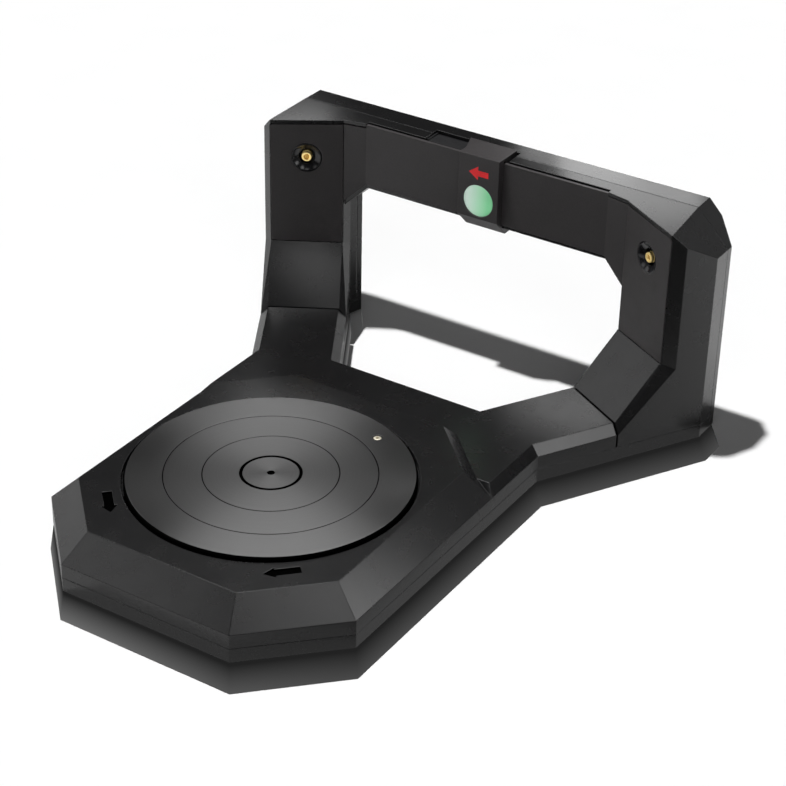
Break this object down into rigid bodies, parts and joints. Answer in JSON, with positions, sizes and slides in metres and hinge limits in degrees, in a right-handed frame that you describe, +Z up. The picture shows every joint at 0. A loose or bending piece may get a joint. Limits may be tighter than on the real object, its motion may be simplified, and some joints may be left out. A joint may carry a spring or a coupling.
{
  "type": "desktop 3d scanner",
  "caption": "Turntable scanner: a low faceted base with a turning disc, and an arch behind it that carries line lasers and a camera with a sliding filter.",
  "frame": {"origin": "on the floor, under the middle of the scanner's outline, at the bottom of the rubber feet", "axes": "+Z up, +Y from the turntable towards the arch at the back, +X to the right as seen from the front"},
  "size_m": [0.395, 0.4522, 0.1815],
  "materials": {
    "shell": "satin black moulded plastic with a fine grain",
    "disc": "matt black moulded plastic",
    "panel": "matt black plastic plate",
    "gloss_trim": "glossy black plastic",
    "brass": "turned brass",
    "lens": "clear coated glass",
    "filter": "pale green filter glass",
    "foot_rubber": "matt black rubber",
    "steel": "plain steel",
    "dark_metal": "black coated metal",
    "gear_plastic": "natural acetal",
    "inner_plastic": "dark grey moulded plastic",
    "pad_plastic": "white slippery plastic",
    "circuit_board": "green circuit board",
    "chip": "black moulded electronics"
  },
  "bodies": {
    "base": {"base_bottom_shell": "shell", "base_top_shell": "shell", "spindle_bearing": "steel", "bearing_seat": "inner_plastic", "turntable_glide_pads": "pad_plastic", "drive_motor": "dark_metal", "motor_plate": "steel", "motor_standoffs": "inner_plastic", "motor_screws": "steel", "board_standoffs": "inner_plastic", "main_board": "circuit_board", "board_chips": "chip", "usb_socket": "steel", "power_socket": "chip", "power_switch": "chip", "frame_front_shell": "shell", "rear_cover": "shell", "right_post_panel": "panel", "left_post_panel": "panel", "beam_panel": "panel", "right_laser_bezel": "gloss_trim", "left_laser_bezel": "gloss_trim", "right_laser_barrel": "brass", "left_laser_barrel": "brass", "right_laser_lens": "lens", "left_laser_lens": "lens", "right_laser_holder": "dark_metal", "left_laser_holder": "dark_metal", "camera_barrel": "dark_metal", "camera_lens": "lens", "camera_bracket": "dark_metal", "camera_board": "circuit_board", "slider_track": "inner_plastic", "rubber_feet": "foot_rubber", "base_screws": "steel", "cover_screws": "steel"},
    "turntable": {"turntable_disc": "disc", "turntable_hub_cap": "disc", "turntable_index_insert": "brass", "turntable_spindle": "steel", "turntable_gear": "gear_plastic"},
    "pinion": {"drive_pinion": "gear_plastic", "motor_shaft": "steel"},
    "slider": {"filter_slider": "panel", "filter_glass": "filter"},
    "button": {"power_button": "gloss_trim"}
  },
  "joints": [
    {"name": "turntable_spin", "type": "hinge", "parent": "base", "child": "turntable", "pos_m": [0, -0.08355, 0], "axis": [0, 0, 1], "continuous": true},
    {"name": "pinion_spin", "type": "hinge", "parent": "base", "child": "pinion", "pos_m": [0, -0.01605, 0], "axis": [0, 0, 1], "continuous": true},
    {"name": "filter_slide", "type": "slide", "parent": "base", "child": "slider", "axis": [-1, 0, 0], "range_m": [0, 0.028]},
    {"name": "power_button_press", "type": "slide", "parent": "base", "child": "button", "axis": [0, -1, 0], "range_m": [0, 0.0015], "stiffness_N_per_m": 300}
  ],
  "couplings": [
    {"joint": "pinion_spin", "follows": "turntable_spin", "ratio": -8}
  ]
}
